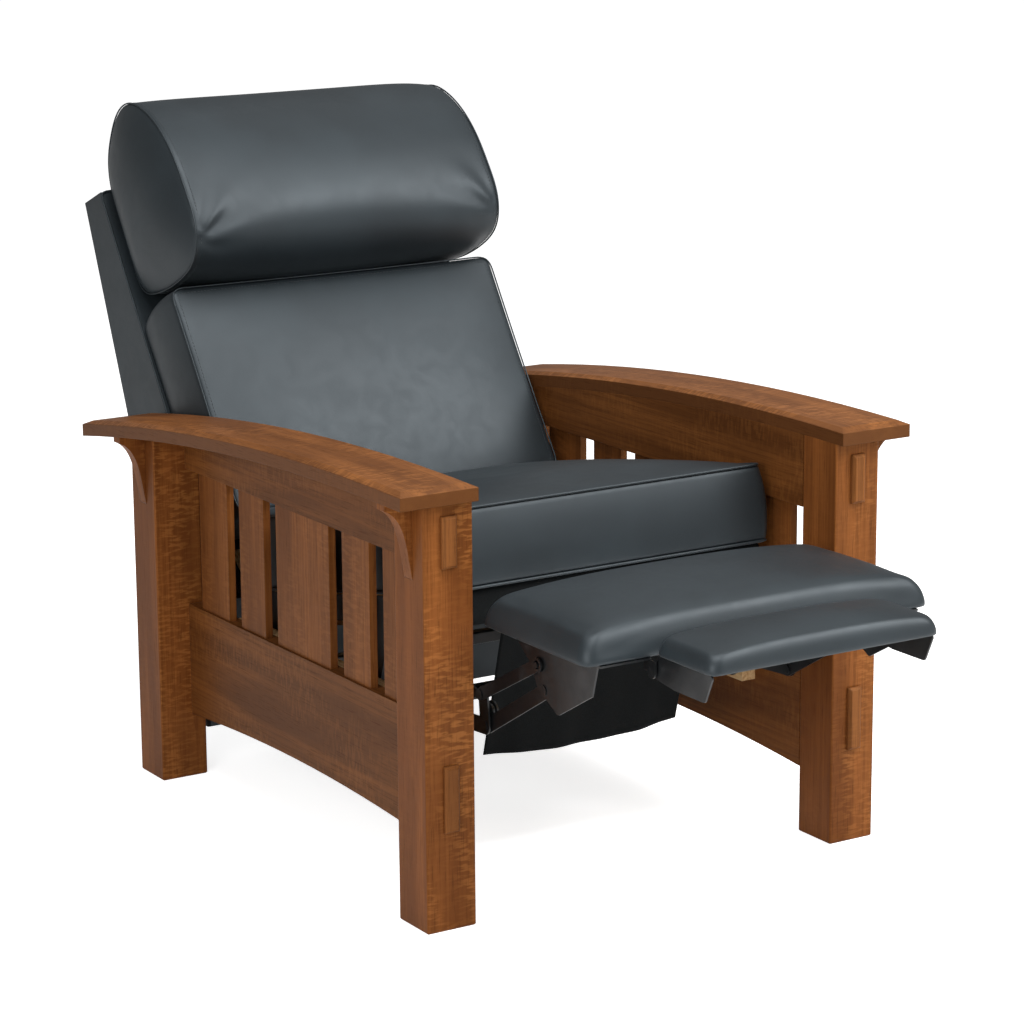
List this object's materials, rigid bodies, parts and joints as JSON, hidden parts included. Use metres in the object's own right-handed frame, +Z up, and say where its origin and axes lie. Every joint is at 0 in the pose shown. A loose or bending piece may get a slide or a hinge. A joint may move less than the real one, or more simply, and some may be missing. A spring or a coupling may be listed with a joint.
{
  "type": "mission reclining armchair",
  "caption": "Slatted oak armchair with bowed arms, leather cushions, a reclining back and a folding linkage footrest with a flip-out extension.",
  "frame": {"origin": "on the floor under the middle of the chair as pictured, footrest out", "axes": "+Z up, -Y towards the sitter's feet, +X towards the sitter's left"},
  "size_m": [0.876, 1.6481, 1.0661],
  "materials": {
    "stained_oak": "brown stained quarter-sawn oak, satin lacquer",
    "arm_oak": "brown stained oak, satin lacquer",
    "plain_wood": "bare hardwood",
    "leather": "black leather, soft satin",
    "dust_cloth": "black non-woven cloth, matt",
    "black_steel": "black satin paint",
    "zinc": "bright zinc plate",
    "spring_steel": "oiled spring steel"
  },
  "bodies": {
    "wooden_frame": {"front_left_post": "stained_oak", "front_right_post": "stained_oak", "rear_left_post": "stained_oak", "rear_right_post": "stained_oak", "left_arm": "arm_oak", "right_arm": "arm_oak", "front_left_corbel": "stained_oak", "front_right_corbel": "stained_oak", "rear_left_corbel": "stained_oak", "rear_right_corbel": "stained_oak", "left_lower_rail": "stained_oak", "right_lower_rail": "stained_oak", "left_upper_rail": "stained_oak", "right_upper_rail": "stained_oak", "left_outer_slats": "stained_oak", "left_inner_slats": "stained_oak", "left_centre_slat": "stained_oak", "right_outer_slats": "stained_oak", "right_inner_slats": "stained_oak", "right_centre_slat": "stained_oak", "upper_tenon_ends": "stained_oak", "lower_tenon_ends": "stained_oak", "mounting_cleats": "plain_wood", "left_base_plate": "black_steel", "right_base_plate": "black_steel", "front_cross_tube": "black_steel", "rear_cross_tube": "black_steel", "base_bolts": "zinc"},
    "seat": {"seat_front_rail": "leather", "seat_side_rails": "plain_wood", "seat_rear_rail": "plain_wood", "seat_springs": "spring_steel", "seat_cushion": "leather", "front_dust_flap": "dust_cloth", "left_seat_plate": "black_steel", "right_seat_plate": "black_steel", "seat_bolts": "zinc"},
    "back": {"back_cover": "leather", "back_stiles": "plain_wood", "back_cross_rails": "plain_wood", "back_springs": "spring_steel", "lower_back_cushion": "leather", "headrest_pillow": "leather", "left_back_bracket": "black_steel", "right_back_bracket": "black_steel", "back_bolts": "zinc"},
    "drive_stage": {"torque_rod": "black_steel", "left_drive_link": "black_steel", "right_drive_link": "black_steel"},
    "carry_stage": {"left_carry_link": "black_steel", "right_carry_link": "black_steel"},
    "guide_stage": {"guide_links": "black_steel"},
    "control_stage": {"control_links": "black_steel"},
    "footrest": {"left_footrest_bracket": "black_steel", "right_footrest_bracket": "black_steel", "footrest_board": "plain_wood", "footrest_pad": "leather"},
    "extension": {"extension_board": "plain_wood", "extension_pad": "leather", "extension_arms": "black_steel"}
  },
  "joints": [
    {"name": "footrest_drive", "type": "hinge", "parent": "seat", "child": "drive_stage", "pos_m": [0, -0.20323, 0.262], "axis": [1, 0, 0], "range_deg": [0, 63.95]},
    {"name": "knee_pivot", "type": "hinge", "parent": "drive_stage", "child": "carry_stage", "pos_m": [0, -0.38282, 0.27419], "axis": [1, 0, 0], "range_deg": [-127.9, 0]},
    {"name": "pad_pivot", "type": "hinge", "parent": "carry_stage", "child": "footrest", "pos_m": [0, -0.53823, 0.365], "axis": [1, 0, 0], "range_deg": [0, 147.95]},
    {"name": "extension_hinge", "type": "hinge", "parent": "footrest", "child": "extension", "pos_m": [0, -0.68423, 0.414], "axis": [1, 0, 0], "range_deg": [0, 180]},
    {"name": "guide_pivot", "type": "hinge", "parent": "seat", "child": "guide_stage", "pos_m": [0, -0.14753, 0.3253], "axis": [1, 0, 0], "range_deg": [0, 51.25]},
    {"name": "control_pivot", "type": "hinge", "parent": "drive_stage", "child": "control_stage", "pos_m": [0, -0.37823, 0.3207], "axis": [1, 0, 0], "range_deg": [-132.5, 0]},
    {"name": "seat_tilt", "type": "hinge", "parent": "wooden_frame", "child": "seat", "pos_m": [0, 0.23169, 0.262], "axis": [1, 0, 0], "range_deg": [0, 6]},
    {"name": "back_recline", "type": "hinge", "parent": "seat", "child": "back", "pos_m": [0, 0.34669, 0.318], "axis": [1, 0, 0], "range_deg": [-26, 0]}
  ],
  "couplings": [
    {"joint": "knee_pivot", "follows": "footrest_drive", "ratio": -2},
    {"joint": "pad_pivot", "follows": "footrest_drive", "ratio": 2.3135},
    {"joint": "extension_hinge", "follows": "footrest_drive", "ratio": 2.8147},
    {"joint": "guide_pivot", "follows": "footrest_drive", "ratio": 0.80141},
    {"joint": "control_pivot", "follows": "footrest_drive", "ratio": -2.0719},
    {"joint": "seat_tilt", "follows": "footrest_drive", "ratio": 0.093823}
  ]
}
